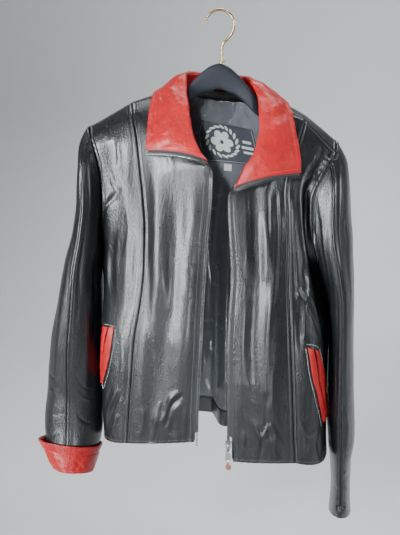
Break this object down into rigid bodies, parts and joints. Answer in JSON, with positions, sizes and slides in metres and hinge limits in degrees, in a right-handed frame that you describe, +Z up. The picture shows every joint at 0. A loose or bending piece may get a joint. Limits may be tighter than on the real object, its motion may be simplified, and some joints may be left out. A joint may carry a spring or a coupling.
{
  "type": "leather jacket on a hanger",
  "caption": "Short black leather jacket with a turned-out red zip collar and red cuff, hanging open on a moulded hanger with a wire hook.",
  "frame": {"origin": "inside of the hanger hook's top, where a rail would carry it", "axes": "+Z up, the jacket's front faces -Y, +X to the wearer's left"},
  "size_m": [0.54, 0.1788, 0.8484],
  "materials": {
    "black_leather": "glossy smooth",
    "red_leather": "semi-gloss, grained",
    "black_satin": "satin",
    "zip_tape_cloth": "matt weave",
    "zip_metal": "satin metal",
    "label_cloth": "woven",
    "white_tag": "matt",
    "hanger_plastic": "satin",
    "hook_brass": "polished"
  },
  "bodies": {
    "jacket": {"back": "black_leather", "collar_top": "red_leather", "collar_under": "black_leather", "cuff_facing_left": "red_leather", "cuff_right": "red_leather", "front_centre_left": "black_leather", "front_centre_right": "black_leather", "front_side_left": "black_leather", "front_side_right": "black_leather", "hanger_body": "hanger_plastic", "hanger_hook": "hook_brass", "hem_facing_back": "black_leather", "label_patch": "label_cloth", "lining_back": "black_satin", "size_tag": "white_tag", "sleeve_under_left": "black_leather", "sleeve_under_right": "black_leather", "sleeve_upper_left": "black_leather", "sleeve_upper_right": "black_leather", "welt_left_back": "red_leather", "welt_left_front": "red_leather", "welt_right_back": "red_leather", "welt_right_front": "red_leather", "zip_box": "zip_metal", "zip_chain_left": "zip_metal", "zip_chain_right": "zip_metal", "zip_pin": "zip_metal", "zip_slider": "zip_metal", "zip_tape_left": "zip_tape_cloth", "zip_tape_right": "zip_tape_cloth"},
    "pull": {"zip_pull": "zip_metal"}
  },
  "joints": [
    {"name": "zip_pull", "type": "hinge", "parent": "jacket", "child": "pull", "pos_m": [0.0312, -0.1042, -0.65758], "axis": [-1, 0, 0], "range_deg": [0, 165]}
  ]
}
